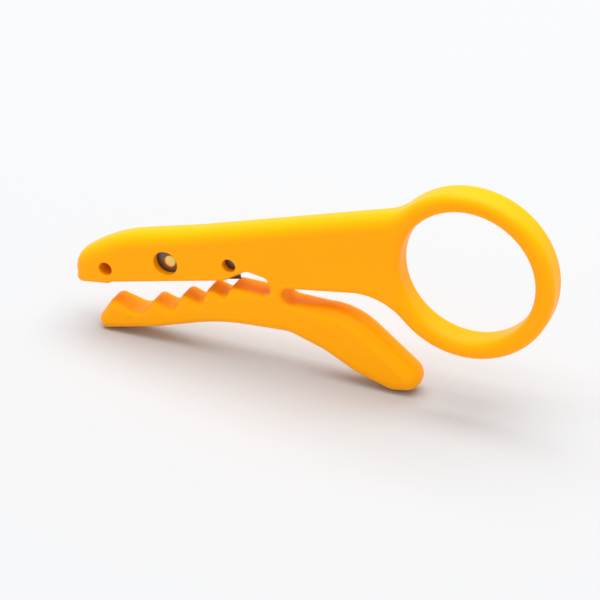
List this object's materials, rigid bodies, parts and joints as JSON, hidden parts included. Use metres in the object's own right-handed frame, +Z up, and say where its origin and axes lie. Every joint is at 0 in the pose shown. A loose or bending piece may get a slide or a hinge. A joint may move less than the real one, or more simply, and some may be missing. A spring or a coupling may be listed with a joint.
{
  "type": "cable and fibre stripper",
  "caption": "Flat one-piece finger-ring stripper with a toothed lower jaw that flexes on a thin web, a steel stripping blade across the upper jaw and a punch-down tip in the nose.",
  "frame": {"origin": "centre of the finger ring, at the middle of the tool's thickness", "axes": "+X along the tool from the jaws towards the ring, +Y across its thickness away from the windowed face, +Z up as it stands on its lower jaw and grip"},
  "size_m": [0.0911, 0.006, 0.0416],
  "materials": {
    "yellow_plastic": "glossy moulded",
    "blade_steel": "ground",
    "pin_brass": "satin"
  },
  "bodies": {
    "handle": {"ring_body": "yellow_plastic", "hinge_web": "yellow_plastic", "strip_blade": "blade_steel", "blade_pin": "pin_brass", "punch_blade": "blade_steel"},
    "lever": {"jaw_lever": "yellow_plastic"}
  },
  "joints": [
    {"name": "jaw_flex", "type": "hinge", "parent": "handle", "child": "lever", "pos_m": [-0.03511, 0, -0.0105], "axis": [0, -1, 0], "range_deg": [-5.5, 13], "stiffness_Nm_per_rad": 0.5, "deforming": ["hinge_web"]}
  ]
}
